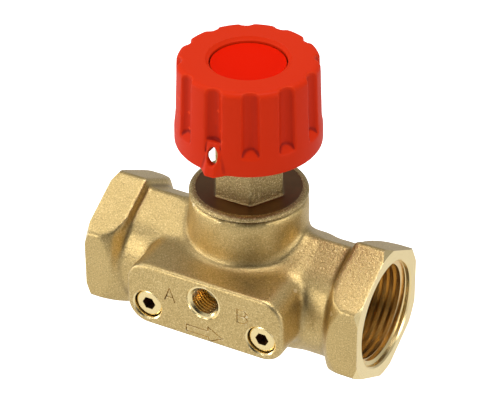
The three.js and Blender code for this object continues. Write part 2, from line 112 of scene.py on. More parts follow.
def addStage():
    low = cadBounds[0][2] - stage["floorDrop"]
    bm = bmesh.new()
    bmesh.ops.create_grid(bm, x_segments=1, y_segments=1, size=stage["floorSize"] / 2)
    moveAll(bm, (0, 0, low))
    paint, tree, shader = principled("floorPaint", stage["floorColor"], 0.9)
    shader.inputs["Emission Color"].default_value = stage["glowColor"]
    seen = addNode(tree, "ShaderNodeLightPath").outputs["Is Camera Ray"]
    tree.links.new(seen, shader.inputs["Emission Strength"])
    toObject("floor", bm, [paint])
    world = bpy.data.worlds.new("studio")
    world.use_nodes = True
    back = world.node_tree.nodes["Background"]
    back.inputs["Color"].default_value = stage["worldColor"]
    back.inputs["Strength"].default_value = stage["worldStrength"]
    scene.world = world
    scene.view_settings.view_transform = "Standard"
    scene.view_settings.look = "None"


def addLights():
    for name, place, size, power, color in lights:
        lamp = bpy.data.lights.new(name, "AREA")
        lamp.shape = "DISK"
        lamp.size = size
        lamp.energy = power
        lamp.color = color
        holder = bpy.data.objects.new(name, lamp)
        scene.collection.objects.link(holder)
        holder.location = place
        holder.rotation_euler = (Vector(place) * -1).to_track_quat("-Z", "Y").to_euler()


# a black card that only reflections see, which gives the metal its dark side
def addCard():
    bm = bmesh.new()
    bmesh.ops.create_grid(bm, x_segments=1, y_segments=1, size=stage["cardSize"] / 2)
    place = Vector(stage["cardPlace"])
    bmesh.ops.transform(bm, verts=bm.verts, matrix=place.to_track_quat("Z", "Y").to_matrix().to_4x4())
    moveAll(bm, place)
    paint, tree, shader = principled("cardBlack", stage["cardColor"], 0.9, specular=0.0)
    card = toObject("darkCard", bm, [paint])
    card.visible_camera = card.visible_diffuse = card.visible_shadow = False


# materials

def nodeGroup(name, inputs, outputs):
    group = bpy.data.node_groups.new(name, "ShaderNodeTree")
    for label, kind, value in inputs:
        socket = group.interface.new_socket(label, in_out="INPUT", socket_type=kind)
        socket.default_value = value
    for label, kind in outputs:
        group.interface.new_socket(label, in_out="OUTPUT", socket_type=kind)
    start = group.nodes.new("NodeGroupInput")
    end = group.nodes.new("NodeGroupOutput")
    return group, start, end


def addNode(tree, kind, **settings):
    node = tree.nodes.new(kind)
    for key, value in settings.items():
        setattr(node, key, value)
    return node


def mathNode(tree, operation, first, second=None, clamp=False):
    node = addNode(tree, "ShaderNodeMath", operation=operation, use_clamp=clamp)
    for socket, value in zip(node.inputs, (first, second)):
        if value is None:
            continue
        if isinstance(value, (int, float)):
            socket.default_value = value
        else:
            tree.links.new(value, socket)
    return node.outputs[0]


def scaled(tree, value, amount):
    return mathNode(tree, "MULTIPLY", value, amount)


def noise(tree, vector, scale, detail, roughness=0.5):
    node = addNode(tree, "ShaderNodeTexNoise")
    node.inputs["Detail"].default_value = detail
    node.inputs["Roughness"].default_value = roughness
    tree.links.new(vector, node.inputs["Vector"])
    if isinstance(scale, (int, float)):
        node.inputs["Scale"].default_value = scale
    else:
        tree.links.new(scale, node.inputs["Scale"])
    return node.outputs[0]


# blasted or forged grain: bright and dark flecks, broad mottling, and a height for bump
def makeGrainGroup():
    group, start, end = nodeGroup(
        "forgeGrain",
        [("Place", "NodeSocketVector", (0, 0, 0)), ("Grain Size", "NodeSocketFloat", 3500.0),
         ("Mottle Size", "NodeSocketFloat", 160.0)],
        [("Height", "NodeSocketFloat"), ("Mottle", "NodeSocketFloat"), ("Bright", "NodeSocketFloat"),
         ("Dark", "NodeSocketFloat")],
    )
    place, size = start.outputs["Place"], start.outputs["Grain Size"]
    fine = noise(group, place, size, 3, 0.65)
    coarse = noise(group, place, scaled(group, size, 0.45), 2)
    height = mathNode(group, "ADD", scaled(group, fine, 0.6), scaled(group, coarse, 0.6))
    flecks = noise(group, place, scaled(group, size, 0.8), 2, 0.7)
    bright = mathNode(group, "MULTIPLY", mathNode(group, "SUBTRACT", flecks, 0.54), 7.0, clamp=True)
    dark = mathNode(group, "MULTIPLY", mathNode(group, "SUBTRACT", 0.47, flecks), 6.0, clamp=True)
    mottle = noise(group, place, start.outputs["Mottle Size"], 4, 0.6)
    for label, value in (("Height", height), ("Mottle", mottle), ("Bright", bright), ("Dark", dark)):
        group.links.new(value, end.inputs[label])
    return group


# lathe marks: fine rings that follow a distance from the axis
def makeTurningGroup():
    group, start, end = nodeGroup(
        "turningMarks",
        [("Distance", "NodeSocketFloat", 0.0), ("Ring Size", "NodeSocketFloat", 9000.0)],
        [("Height", "NodeSocketFloat")],
    )
    spread = scaled(group, start.outputs["Distance"], start.outputs["Ring Size"])
    line = addNode(group, "ShaderNodeTexNoise", noise_dimensions="1D")
    line.inputs["Scale"].default_value = 1
    line.inputs["Detail"].default_value = 2
    group.links.new(spread, line.inputs["W"])
    group.links.new(line.outputs[0], end.inputs["Height"])
    return group


# rubbed edges and painted highlight: one mask that is high on convex edges, and painted shade: one that is
# high in hollows
def makeWearSheenShadeGroup():
    group, start, end = nodeGroup(
        "edgeSheenHollowShade",
        [("Pointiness", "NodeSocketFloat", 0.5), ("Edge", "NodeSocketFloat", 0.53),
         ("Width", "NodeSocketFloat", 0.05)],
        [("Mask", "NodeSocketFloat"), ("HollowShade", "NodeSocketFloat")],
    )
    above = mathNode(group, "SUBTRACT", start.outputs["Pointiness"], start.outputs["Edge"])
    mask = mathNode(group, "DIVIDE", above, start.outputs["Width"], clamp=True)
    group.links.new(mask, end.inputs["Mask"])
    below = mathNode(group, "SUBTRACT", 0.497, start.outputs["Pointiness"])
    group.links.new(mathNode(group, "DIVIDE", below, 0.02, clamp=True), end.inputs["HollowShade"])
    return group


def principled(name, color, roughness, metallic=0.0, specular=0.5):
    material = bpy.data.materials.new(name)
    material.use_nodes = True
    shader = material.node_tree.nodes["Principled BSDF"]
    shader.inputs["Base Color"].default_value = (*color[:3], 1)
    shader.inputs["Roughness"].default_value = roughness
    shader.inputs["Metallic"].default_value = metallic
    shader.inputs["Specular IOR Level"].default_value = specular
    material.diffuse_color = (*color[:3], 1)
    return material, material.node_tree, shader


def mixColor(tree, factor, first, second):
    node = addNode(tree, "ShaderNodeMix", data_type="RGBA")
    tree.links.new(factor, node.inputs["Factor"])
    for label, value in (("A", first), ("B", second)):
        socket = [s for s in node.inputs if s.name == label and s.type == "RGBA"][0]
        if isinstance(value, tuple):
            socket.default_value = (*value, 1)
        else:
            tree.links.new(value, socket)
    return [s for s in node.outputs if s.type == "RGBA"][0]


def useGroup(tree, group, **values):
    node = addNode(tree, "ShaderNodeGroup")
    node.node_tree = group
    for label, value in values.items():
        socket = node.inputs[label.replace("_", " ")]
        if isinstance(value, (int, float)):
            socket.default_value = value
        else:
            tree.links.new(value, socket)
    return node


def bump(tree, height, strength, distance, shader):
    node = addNode(tree, "ShaderNodeBump")
    node.inputs["Strength"].default_value = strength
    node.inputs["Distance"].default_value = distance
    tree.links.new(height, node.inputs["Height"])
    tree.links.new(node.outputs[0], shader.inputs["Normal"])


# roughness wanders with a pattern, as far as the look lets it
def unevenRoughness(tree, shader, value, look):
    node = addNode(tree, "ShaderNodeMapRange")
    smoother, rougher = look["roughSpread"]
    node.inputs["To Min"].default_value = look["roughness"] - smoother
    node.inputs["To Max"].default_value = look["roughness"] + rougher
    tree.links.new(value, node.inputs["Value"])
    tree.links.new(node.outputs[0], shader.inputs["Roughness"])


# convex edges go lighter, part rubbed finish and part painted highlight, and hollows go darker with painted
# shade
def wearAndSheenColor(tree, look, color):
    shape = addNode(tree, "ShaderNodeNewGeometry").outputs["Pointiness"]
    wearAndSheen = useGroup(tree, wearSheenShadeGroup, Pointiness=shape, Edge=look["wearSheenEdge"], Width=look["wearSheenWidth"])
    edged = mixColor(tree, scaled(tree, wearAndSheen.outputs["Mask"], look["wearAndSheen"]), color, look["wearAndSheenColor"])
    # the second mix darkens the hollows: painted shade
    return mixColor(tree, scaled(tree, wearAndSheen.outputs["HollowShade"], look["hollowShade"]), edged, look["hollowShadeColor"])


def grainyMetal(name, look):
    material, tree, shader = principled(name, look["color"], look["roughness"], 1.0)
    place = addNode(tree, "ShaderNodeTexCoord").outputs["Object"]
    grain = useGroup(tree, grainGroup, Place=place, Grain_Size=look["grainSize"],
                     Mottle_Size=look["mottleSize"])
    mottle = grain.outputs["Mottle"]
    mottled = mixColor(tree, mottle, look["color"], look["darkColor"])
    bright = scaled(tree, grain.outputs["Bright"], look["speckle"])
    speckled = mixColor(tree, bright, mottled, look["speckleColor"])
    dark = scaled(tree, grain.outputs["Dark"], look["fleck"])
    flecked = mixColor(tree, dark, speckled, look["fleckColor"])
    tree.links.new(wearAndSheenColor(tree, look, flecked), shader.inputs["Base Color"])
    unevenRoughness(tree, shader, mottle, look)
    bump(tree, grain.outputs["Height"], look["bump"], look["bumpDepth"], shader)
    return material


def turnedMetal(name, look, axis="X"):
    material, tree, shader = principled(name, look["color"], look["roughness"], 1.0)
    place = addNode(tree, "ShaderNodeTexCoord").outputs["Object"]
    split = addNode(tree, "ShaderNodeSeparateXYZ")
    tree.links.new(place, split.inputs[0])
    across = [s for s in "XYZ" if s != axis]
    squares = [mathNode(tree, "POWER", split.outputs[s], 2.0) for s in across]
    radius = mathNode(tree, "SQRT", mathNode(tree, "ADD", *squares))
    distance = mathNode(tree, "ADD", radius, split.outputs[axis])
    marks = useGroup(tree, turningGroup, Distance=distance, Ring_Size=look["ringSize"])
    tint = mixColor(tree, noise(tree, place, 300.0, 3), look["color"], look["darkColor"])
    tree.links.new(tint, shader.inputs["Base Color"])
    unevenRoughness(tree, shader, marks.outputs["Height"], look)
    bump(tree, marks.outputs["Height"], look["bump"], look["bumpDepth"], shader)
    return material


def mouldedPlastic(name, look):
    material, tree, shader = principled(name, look["color"], look["roughness"], specular=look["specular"])
    shader.inputs["Subsurface Weight"].default_value = look["subsurface"]
    shader.inputs["Subsurface Radius"].default_value = look["subsurfaceRadius"]
    shader.inputs["Subsurface Scale"].default_value = look["subsurfaceScale"]
    place = addNode(tree, "ShaderNodeTexCoord").outputs["Object"]
    flow = noise(tree, place, look["flowSize"], 3)
    tint = mixColor(tree, flow, look["color"], look["darkColor"])
    tree.links.new(wearAndSheenColor(tree, look, tint), shader.inputs["Base Color"])
    unevenRoughness(tree, shader, flow, look)
    bump(tree, noise(tree, place, look["grainSize"], 2), look["bump"], look["bumpDepth"], shader)
    return material


grainGroup = makeGrainGroup()
turningGroup = makeTurningGroup()
wearSheenShadeGroup = makeWearSheenShadeGroup()

# on the brass the edge colour is rubbed brass with a painted highlight, and the colour for the hollows is
# painted shade
forgedLook = {
    "color": (0.68, 0.50, 0.212), "darkColor": (0.57, 0.41, 0.165), "speckleColor": (0.95, 0.78, 0.42),
    "fleckColor": (0.29, 0.20, 0.08), "wearAndSheenColor": (0.97, 0.85, 0.58), "roughness": 0.38,
    "grainSize": 3600.0, "mottleSize": 140.0, "speckle": 0.65, "fleck": 0.65, "wearAndSheen": 0.6, "wearSheenEdge": 0.52,
    "wearSheenWidth": 0.06, "hollowShadeColor": (0.24, 0.16, 0.07), "hollowShade": 0.7, "bump": 0.8, "bumpDepth": 0.00013,
    "roughSpread": (0.06, 0.08),
}
bonnetLook = dict(forgedLook, color=(0.56, 0.41, 0.185), darkColor=(0.42, 0.30, 0.13), grainSize=3300.0,
                  speckle=1.0, fleck=0.9, bump=1.0, bumpDepth=0.00024, roughness=0.38, wearAndSheen=0.8)
# dark brass for the flat ring under the knob and the chamfer under the flange: painted shade
bonnetTopShadeLook = {
    "color": (0.21, 0.115, 0.05), "darkColor": (0.15, 0.08, 0.034), "roughness": 0.34,
    "roughSpread": (0.05, 0.1), "ringSize": 7000.0, "bump": 0.25, "bumpDepth": 0.00004,
}
turnedLook = {
    "color": (0.99, 0.82, 0.44), "darkColor": (0.93, 0.73, 0.36), "roughness": 0.24,
    "roughSpread": (0.05, 0.1), "ringSize": 9000.0, "bump": 0.2, "bumpDepth": 0.00003,
}
threadLook = dict(turnedLook, color=(0.94, 0.72, 0.40), darkColor=(0.82, 0.60, 0.30), roughness=0.2)
# a dark copy of the turned brass for the walls of the hex sockets: painted shade
socketShadeLook = dict(turnedLook, color=(0.26, 0.14, 0.05), darkColor=(0.18, 0.095, 0.035), roughness=0.5)
# on the knob the edge colour is a painted highlight along the flute edges, and the colour for the hollows is
# painted shade in the flutes
knobLook = {
    "color": (0.72, 0.034, 0.004), "darkColor": (0.67, 0.026, 0.003), "wearAndSheenColor": (0.92, 0.085, 0.018),
    "hollowShadeColor": (0.30, 0.010, 0.005), "hollowShade": 0.9, "wearAndSheen": 0.5, "wearSheenEdge": 0.52, "wearSheenWidth": 0.06,
    "roughness": 0.42, "roughSpread": (0.05, 0.07), "specular": 0.08, "subsurface": 0.0,
    "subsurfaceRadius": (1.0, 0.25, 0.12), "subsurfaceScale": 0.0012, "flowSize": 45.0,
    "grainSize": 2500.0, "bump": 0.12, "bumpDepth": 0.00003,
}
capLook = dict(knobLook, color=(0.80, 0.012, 0.001), darkColor=(0.76, 0.010, 0.001), roughness=0.25,
               specular=0.01, bump=0.03, hollowShade=0.0)
rubberLook = dict(knobLook, color=(0.018, 0.018, 0.018), darkColor=(0.028, 0.028, 0.027),
                  wearAndSheenColor=(0.05, 0.05, 0.05), hollowShade=0.0, roughness=0.62, bump=0.3)
slipLook = dict(knobLook, color=(0.80, 0.79, 0.75), darkColor=(0.74, 0.73, 0.68),
                wearAndSheenColor=(0.85, 0.84, 0.81), hollowShade=0.0, roughness=0.45, subsurface=0.1)
steelLook = dict(turnedLook, color=(0.62, 0.63, 0.65), darkColor=(0.52, 0.53, 0.56), roughness=0.3)

forgedBrass = grainyMetal("forgedBrass", forgedLook)
castBrass = grainyMetal("castBrass", bonnetLook)
flangeShadeBrass = turnedMetal("flangeShadeBrass", bonnetTopShadeLook, "Z")
portBrass = turnedMetal("portBrass", turnedLook, "X")
spindleBrass = turnedMetal("spindleBrass", turnedLook, "Z")
padBrass = turnedMetal("padBrass", turnedLook, "Y")
threadBrass = turnedMetal("threadBrass", threadLook, "X")
socketShadeBrass = turnedMetal("socketShadeBrass", socketShadeLook, "Y")
redPlastic = mouldedPlastic("redPlastic", knobLook)
capPlastic = mouldedPlastic("capPlastic", capLook)
sealRubber = mouldedPlastic("sealRubber", rubberLook)
slipPlastic = mouldedPlastic("slipPlastic", slipLook)
platedSteel = turnedMetal("platedSteel", steelLook, "Z")


# mesh tools, in millimetres until a piece is finished

def toObject(name, bm, materials):
    mesh = bpy.data.meshes.new(name)
    bm.to_mesh(mesh)
    bm.free()
    for material in materials:
        mesh.materials.append(material)
    for face in mesh.polygons:
        face.use_smooth = True
    made = bpy.data.objects.new(name, mesh)
    scene.collection.objects.link(made)
    return made


def tidy(bm, gap=0.0005):
    bmesh.ops.remove_doubles(bm, verts=bm.verts, dist=gap)
    bmesh.ops.recalc_face_normals(bm, faces=bm.faces)
    return bm


def moveAll(bm, vec):
    bmesh.ops.translate(bm, verts=bm.verts, vec=vec)


def turnAll(bm, angle, axis):
    bmesh.ops.rotate(bm, verts=bm.verts, cent=(0, 0, 0), matrix=Matrix.Rotation(angle, 3, axis))


# a flat face becomes a solid
def thicken(bm, vec):
    grown = bmesh.ops.extrude_face_region(bm, geom=bm.faces[:])
    moved = [v for v in grown["geom"] if isinstance(v, bmesh.types.BMVert)]
    bmesh.ops.translate(bm, verts=moved, vec=vec)


# a turned solid about Z from (radius, height) points that start and end on the axis, or close up
def lathe(points, steps=96):
    bm = bmesh.new()
    closed = points[0] == points[-1]
    ring = [bm.verts.new((radius, 0, height)) for radius, height in (points[:-1] if closed else points)]
    pairs = list(zip(ring, ring[1:])) + ([(ring[-1], ring[0])] if closed else [])
    edges = [bm.edges.new(pair) for pair in pairs]
    bmesh.ops.spin(bm, geom=ring + edges, cent=(0, 0, 0), axis=(0, 0, 1), angle=math.tau, steps=steps,
                   use_merge=True, use_duplicate=False)
    return tidy(bm)


# each inner corner of an open profile becomes a short arc
def rounded(points, radius, steps):
    out = [points[0]]
    for before, corner, after in zip(points, points[1:], points[2:]):
        a, b, c = Vector(before), Vector(corner), Vector(after)
        reach = min(radius, (a - b).length * 0.45, (c - b).length * 0.45)
        start = b + (a - b).normalized() * reach
        end = b + (c - b).normalized() * reach
        for i in range(steps + 1):
            t = i / steps
            point = start * (1 - t) ** 2 + b * 2 * t * (1 - t) + end * t ** 2
            out.append(tuple(point))
    return out + [points[-1]]


# an upright prism with a flat or a corner towards -Y
def prism(sides, acrossFlats, low, high, flatForward=True):
    bm = bmesh.new()
    radius = acrossFlats / 2 / math.cos(math.pi / sides)
    bmesh.ops.create_circle(bm, cap_ends=True, segments=sides, radius=radius)
    turn = -math.pi / 2 + (math.pi / sides if flatForward else 0)
    first = bm.verts[:][0].co
    turn -= math.atan2(first.y, first.x)
    turnAll(bm, turn, "Z")
    moveAll(bm, (0, 0, low))
    thicken(bm, (0, 0, high - low))
    return tidy(bm)


def block(low, high):
    bm = bmesh.new()
    bmesh.ops.create_cube(bm, size=1)
    size = Vector(high) - Vector(low)
    bmesh.ops.scale(bm, verts=bm.verts, vec=size)
    moveAll(bm, (Vector(high) + Vector(low)) / 2)
    return bm


# lay what stands on +Z along +X (its -Y side goes down), or out along -Y
def alongX(bm, end=1):
    turn = Matrix(((0, 0, 1), (1, 0, 0), (0, 1, 0)))
    bmesh.ops.transform(bm, matrix=turn.to_4x4(), verts=bm.verts)
    if end < 0:
        turnAll(bm, math.pi, "Z")
    return bm


def outOfPad(bm, x, z):
    turnAll(bm, math.pi / 2, "X")
    moveAll(bm, (x, 0, z))
    return bm


def addTo(bm, *others):
    for other in others:
        mesh = bpy.data.meshes.new("joint")
        other.to_mesh(mesh)
        other.free()
        bm.from_mesh(mesh)
        bpy.data.meshes.remove(mesh)
    return bm


def bakeModifiers(piece):
    graph = bpy.context.evaluated_depsgraph_get()
    baked = bpy.data.meshes.new_from_object(piece.evaluated_get(graph))
    piece.modifiers.clear()
    old = piece.data
    piece.data = baked
    bpy.data.meshes.remove(old)


def remesh(piece, voxel):
    modifier = piece.modifiers.new("remesh", "REMESH")
    modifier.mode = "VOXEL"
    modifier.voxel_size = voxel
    modifier.use_smooth_shade = True
    bakeModifiers(piece)


def combine(piece, bm, materials, operation="DIFFERENCE"):
    other = toObject("cutter", bm, materials)
    modifier = piece.modifiers.new("combine", "BOOLEAN")
    modifier.operation = operation
    modifier.solver = "MANIFOLD"
    modifier.material_mode = "TRANSFER"
    modifier.object = other
    bpy.context.view_layer.update()
    bakeModifiers(piece)
    mesh = other.data
    bpy.data.objects.remove(other)
    bpy.data.meshes.remove(mesh)


# cut a shape turned about Z out of a piece
def turnOut(piece, points, steps, material):
    combine(piece, lathe(points, steps), [material])


def smooth(bm, verts, times):
    for i in range(times):
        bmesh.ops.smooth_vert(bm, verts=verts, factor=0.5, use_axis_x=True, use_axis_y=True, use_axis_z=True)


def soften(piece, times, where=None):
    bm = bmesh.new()
    bm.from_mesh(piece.data)
    smooth(bm, [v for v in bm.verts if where is None or where(v.co)], times)
    bm.to_mesh(piece.data)
    bm.free()


# round out the creases where one shape grows out of another
def blendValleys(piece, bend, rings, times, where):
    bm = bmesh.new()
    bm.from_mesh(piece.data)
    chosen = set()
    for edge in bm.edges:
        if where(edge.verts[0].co) and len(edge.link_faces) == 2 and edge.calc_face_angle_signed() < -bend:
            chosen.update(edge.verts)
    for i in range(rings):
        chosen |= {edge.other_vert(v) for v in chosen for edge in v.link_edges}
    smooth(bm, list(chosen), times)
    bm.to_mesh(piece.data)
    bm.free()


def finishPiece(piece, body, slotName, *nodes):
    piece.data.transform(Matrix.Scale(mm, 4))
    for face in piece.data.polygons:
        face.use_smooth = True
    piece.data.update()
    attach(piece, body)
    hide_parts(*nodes)
    triangles = sum(len(p.vertices) - 2 for p in piece.data.polygons)
    print("made", piece.name, triangles, "triangles")
    return piece


# edges sharper than this keep a crisp shading break
def sharpen(piece, angle=35):
    piece.data.set_sharp_from_angle(angle=math.radians(angle))


# a sharp ridge wound round Z, to cut a thread with
def helixTooth(root, crest, rootHalf, crestHalf, pitch, turns, low, steps):
    bm = bmesh.new()
    shape = [(root, -rootHalf), (root, rootHalf), (crest, crestHalf), (crest, -crestHalf)]
    ring = [bm.verts.new((radius, 0, low + height)) for radius, height in shape]
    edges = [bm.edges.new(pair) for pair in zip(ring, ring[1:] + ring[:1])]
    count = int(turns * steps)
    bmesh.ops.spin(bm, geom=ring + edges, cent=(0, 0, 0), axis=(0, 0, 1), dvec=(0, 0, pitch / steps),
                   angle=math.tau * turns, steps=count, use_merge=False, use_duplicate=False)
    bmesh.ops.holes_fill(bm, edges=[e for e in bm.edges if e.is_boundary], sides=4)
    return tidy(bm, 0.00001)


def sizeOf(node):
    low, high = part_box(node)
    return low / mm, high / mm


# valve body

bodyLow, bodyHigh = sizeOf("valve_body")
body = {
    "halfLength": bodyHigh.x,
    "hexCorner": -bodyLow.z,
    "padFace": bodyLow.y,
    "neckTop": bodyHigh.z,
    "neckRadius": 14.56,
    "hexInner": {1: 27.3, -1: 28.3},
    "hexSlant": {1: 0.055, -1: 0.0},
    "barrelFlats": 28.4,
    "globeFlats": 29.2,
    "globeHalf": 18.2,
    "padHalf": 21.3, "padLow": -6.2, "padHigh": 11.0, "padCorner": 5.6, "padBack": -8.0,
    "voxel": 0.42,
    "plugX": 15.5, "plugZ": -0.5, "tapZ": 5.26,
    "chamberRadius": 11,
    "seatRadius": 7.5,
    # ovals along each passage: x, floor, roof, half width
    "passageA": [(-27, -10.8, 10.8, 10.8), (-22, -11, 9, 10.6), (-17, -11.6, 3.6, 10.2),
                 (-12.5, -12, -1, 9.8), (0, -12.4, -1.2, 9.4), (6, -11.6, -1.8, 6)],
    "passageB": [(5, 3.2, 11, 8), (12.5, 1.2, 11.6, 9.8), (17, -3.6, 11.4, 10.2),
                 (22, -9, 11, 10.6), (27, -10.8, 10.8, 10.8)],
}
portThread = {"bore": 12.06, "inner": 11.6, "outer": 13.22, "pitch": 1.814, "turns": 6.4, "start": 0.9,
              "tip": 0.10, "steps": 72}
tapThread = {"bore": 3.5, "inner": 3.2, "outer": 4.15, "pitch": 0.907, "turns": 6.2, "start": 0.95,
             "tip": 0.09, "steps": 48}


def bevelled(bm, width, segments, where):
    edges = [e for e in bm.edges if where(e)]
    bmesh.ops.bevel(bm, geom=edges, offset=width, segments=segments, profile=0.5, affect="EDGES",
                    material=-1, offset_type="OFFSET", clamp_overlap=True)
    return bm


def lengthwise(axis):
    def test(edge):
        a, b = edge.verts
        span = b.co - a.co
        return abs(span[axis]) > 0.98 * span.length
    return test


# corners up and down stay narrow ridges, the four side corners are rounded well over
def barrelShape(flats, half, ridge, shoulder):
    bm = prism(6, flats, -half, half, flatForward=False)
    along = lengthwise(2)

    def atSide(edge):
        return along(edge) and abs(edge.verts[0].co.x) > flats * 0.4 and edge.calc_face_angle(0) > 0.5

    bevelled(bm, ridge, 3, lambda e: along(e) and abs(e.verts[0].co.x) < 0.01)
    bevelled(bm, shoulder, 6, atSide)
    return alongX(bm)


# the inner end runs down to the barrel in a ramp, deepest at the corners
def portBlank(end):
    flats = body["hexCorner"] * math.cos(math.pi / 6)
    far = body["halfLength"] + 0.8
    near = body["hexInner"][end]
    bm = prism(6, flats * 2, near, far, flatForward=False)
    bevelled(bm, 0.5, 2, lengthwise(2))
    blank = toObject("portBlank", bm, [])
    ramp = lathe([(0, near - 1), (flats - 3.4, near - 1), (flats - 2.8, near), (flats - 1.6, near + 0.6),
                  (flats, near + 2.0), (flats + 0.5, near + 3.0), (flats + 1.6, near + 5.6),
                  (flats + 3, near + 9), (flats + 3, far + 1), (0, far + 1)], 96)
    bmesh.ops.scale(ramp, verts=ramp.verts, vec=(1, 1.3, 1))
    combine(blank, ramp, [], "INTERSECT")
    bm = bmesh.new()
    bm.from_mesh(blank.data)
    bpy.data.objects.remove(blank)
    for v in bm.verts:
        v.co.z += body["hexSlant"][end] * v.co.y * min(1, max(0, (far - v.co.z) / 3))
    return alongX(bm, end)


def padShape():
    bm = bmesh.new()
    front, back = body["padFace"], body["padBack"]
    corners = [(-body["padHalf"], body["padLow"]), (body["padHalf"], body["padLow"]),
               (body["padHalf"], body["padHigh"]), (-body["padHalf"], body["padHigh"])]
    bm.faces.new([bm.verts.new((x, front, z)) for x, z in corners])
    thicken(bm, (0, back - front, 0))
    bevelled(bm, body["padCorner"], 8, lengthwise(1))
    bevelled(bm, 0.8, 3, lambda e: all(abs(v.co.y - front) < 0.01 for v in e.verts))
    return tidy(bm)


# ovals joined end to end
def passage(stations):
    bm = bmesh.new()
    rings = []
    for x, floor, roof, half in stations:
        made = bmesh.ops.create_circle(bm, segments=40, radius=1)["verts"]
        middle, tall = (roof + floor) / 2, (roof - floor) / 2
        for v in made:
            v.co = Vector((x, v.co.x * half, middle + v.co.y * tall))
        rings.append(made)
    loops = [[e for e in bm.edges if all(v in set(ring) for v in e.verts)] for ring in rings]
    for first, second in zip(loops, loops[1:]):
        bmesh.ops.bridge_loops(bm, edges=first + second)
    for loop in (loops[0], loops[-1]):
        bmesh.ops.contextual_create(bm, geom=loop)
    return tidy(bm)


def makeBody():
    blank = barrelShape(body["barrelFlats"], body["hexInner"][-1] + 1, 0.7, 7.6)
    globe = barrelShape(body["globeFlats"], body["globeHalf"], 0.7, 6.5)
    radius, top = body["neckRadius"], body["neckTop"] + 0.6
    neck = lathe([(0, -12), (8, -12), (13.4, -9), (radius, -5), (radius, top), (0, top)], 128)
    land = block((-radius - 0.05, -1.3, 0), (radius + 0.05, 1.3, top))
    addTo(blank, globe, neck, land, portBlank(1), portBlank(-1), padShape())
    piece = toObject("valveBody", blank, [forgedBrass, portBrass, padBrass, spindleBrass, threadBrass])
    remesh(piece, body["voxel"])
    soften(piece, 4)

    def nearNeck(co):
        reach = math.hypot(co.x, co.y)
        return 12.5 < reach < 19.5 and 4 < co.z < 19.5 and not (co.y < -17)

    soften(piece, 26, nearNeck)
    blendValleys(piece, 0.16, 7, 45, lambda co: abs(co.x) < 24)
    blendValleys(piece, 0.16, 2, 8, lambda co: abs(co.x) >= 24)
    soften(piece, 2)
    print("body blank", len(piece.data.polygons))
    return piece


# a tooth that cuts an inside thread, wound up to just short of its mouth
def threadTool(cut, mouth):
    pitch, turns = cut["pitch"], cut["turns"]
    low = mouth - cut["start"] - pitch * turns
    return helixTooth(cut["inner"], cut["outer"], 0.43 * pitch, cut["tip"] * pitch, pitch, turns, low,
                      cut["steps"])


# these face the port end, chamfer its corners and bore it, about Z before they are laid along X
def portTools():
    end, bore = body["halfLength"], portThread["bore"]
    corner = body["hexCorner"] - 1.5
    facing = lathe([(0, end), (corner, end), (corner + 2.6, end - 2.1), (25, end - 2.1), (25, end + 3),
                    (0, end + 3)], 128)
    hole = lathe([(0, 24.4), (10.8, 24.4), (bore, 26), (bore, end - 1.3), (0, end - 1.3)], 128)
    mouth = lathe([(0, end - 1.8), (bore, end - 1.8), (13.2, end - 1.2), (13.3, end - 0.35), (13.7, end),
                   (14.2, end + 0.5), (0, end + 0.5)], 128)
    thread = threadTool(portThread, end)
    return (facing, portBrass), (hole, threadBrass), (mouth, portBrass), (thread, threadBrass)


def cutPorts(piece):
    for end in (1, -1):
        for tool, material in portTools():
            combine(piece, alongX(tool, end), [material])
    print("ports cut", len(piece.data.polygons))


def cutPassages(piece):
    for stations in (body["passageA"], body["passageB"]):
        combine(piece, passage(stations), [forgedBrass])


def cutChamber(piece):
    top, neck = body["neckTop"], body["neckRadius"]
    wall, seat = body["chamberRadius"], body["seatRadius"]
    turnOut(piece, [(0, top), (neck - 0.35, top), (neck + 0.25, top - 0.5), (25, top - 0.5), (25, top + 3),
                    (0, top + 3)], 128, portBrass)
    turnOut(piece, [(0, 3), (9.2, 3), (9.2, 2), (wall, 2), (wall, 12.5), (wall + 1, 13.5),
                    (wall + 1, top - 2), (wall + 1.6, top - 1.6), (wall + 1.6, top + 1), (0, top + 1)], 96,
            spindleBrass)
    turnOut(piece, [(0, -6), (seat, -6), (seat, 4), (0, 4)], 96, spindleBrass)


def cutPad(piece):
    face = -body["padFace"]
    for x in (-body["plugX"], body["plugX"]):
        hole = lathe([(0, 7), (1.2, 7), (1.2, 14.6), (2.9, 15.8), (2.9, 18.6), (3.74, 18.6),
                      (3.74, face - 0.3), (4.1, face), (4.3, face + 0.2), (4.3, face + 1), (0, face + 1)], 64)
        combine(piece, outOfPad(hole, x, body["plugZ"]), [padBrass])
    bore = tapThread["bore"]
    tap = lathe([(0, 14.2), (bore, 16), (bore, face - 0.9), (4.0, face - 0.34), (4.45, face - 0.28),
                 (4.6, face), (4.7, face + 0.2), (4.7, face + 1), (0, face + 1)], 64)
    combine(piece, outOfPad(tap, 0, body["tapZ"]), [padBrass])
    combine(piece, outOfPad(threadTool(tapThread, face), 0, body["tapZ"]), [threadBrass])


# marks stamped in the pad: letters for the two sides and an arrow for the flow

marks = {
    "depth": 0.37,
    "width": 0.52,
    "letterA": [[(-10.6, 2.8), (-9.25, 6.5), (-7.9, 2.8)], [(-10.1, 4.0), (-8.4, 4.0)]],
    "letterB": [[(9.2, 2.9), (9.2, 6.7), (11.1, 6.6), (11.8, 5.9), (11.1, 5.0), (9.2, 4.9)],
                [(11.1, 5.0), (12.05, 4.2), (11.3, 3.0), (9.2, 2.9)]],
    "arrow": [[(-4.8, -2.6), (1.1, -2.6), (1.3, -1.4), (5.1, -3.6), (1.5, -5.6), (1.3, -4.4), (-4.8, -4.4),
               (-4.8, -2.6)]],
}


